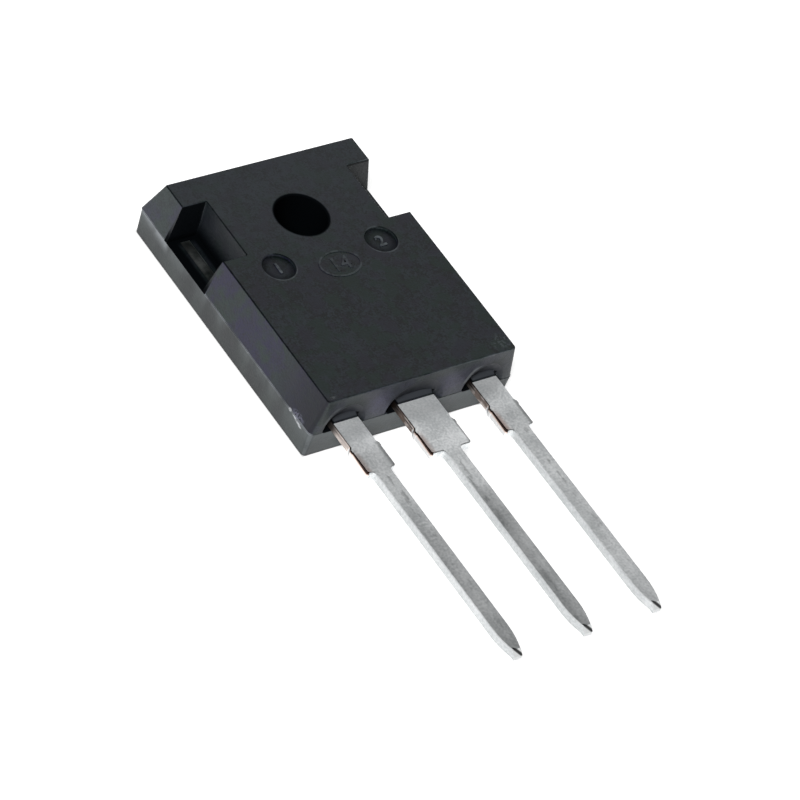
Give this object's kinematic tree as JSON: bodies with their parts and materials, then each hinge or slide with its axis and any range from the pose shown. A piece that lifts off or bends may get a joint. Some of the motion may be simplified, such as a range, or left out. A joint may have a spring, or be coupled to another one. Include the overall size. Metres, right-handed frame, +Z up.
{
  "type": "igbt transistor",
  "caption": "Power transistor in a flat black moulded package with a bolt hole, side notches, a bare metal back and flat tinned leads along one end.",
  "frame": {"origin": "axis of the mounting hole, in the plane of the back face that lies on the heat sink", "axes": "+Z up out of the front face, along the mounting hole; +Y from the leads towards the hole end; +X across the leads, from gate to emitter"},
  "size_m": [0.016, 0.041, 0.0049],
  "materials": {
    "moulding": "matt moulded epoxy, near black",
    "tinned_copper": "matt tin plate over copper",
    "die": "silicon with an aluminium face",
    "solder": "dull solder",
    "bond_wire": "drawn aluminium wire"
  },
  "bodies": {
    "root": {"moulded_body": "moulding", "collector_header": "tinned_copper", "gate_lead": "tinned_copper", "emitter_lead": "tinned_copper", "igbt_die": "die", "igbt_solder": "solder", "diode_die": "die", "diode_solder": "solder", "emitter_wire_1": "bond_wire", "emitter_wire_2": "bond_wire", "emitter_wire_3": "bond_wire", "emitter_wire_4": "bond_wire", "gate_wire": "bond_wire"}
  },
  "joints": []
}
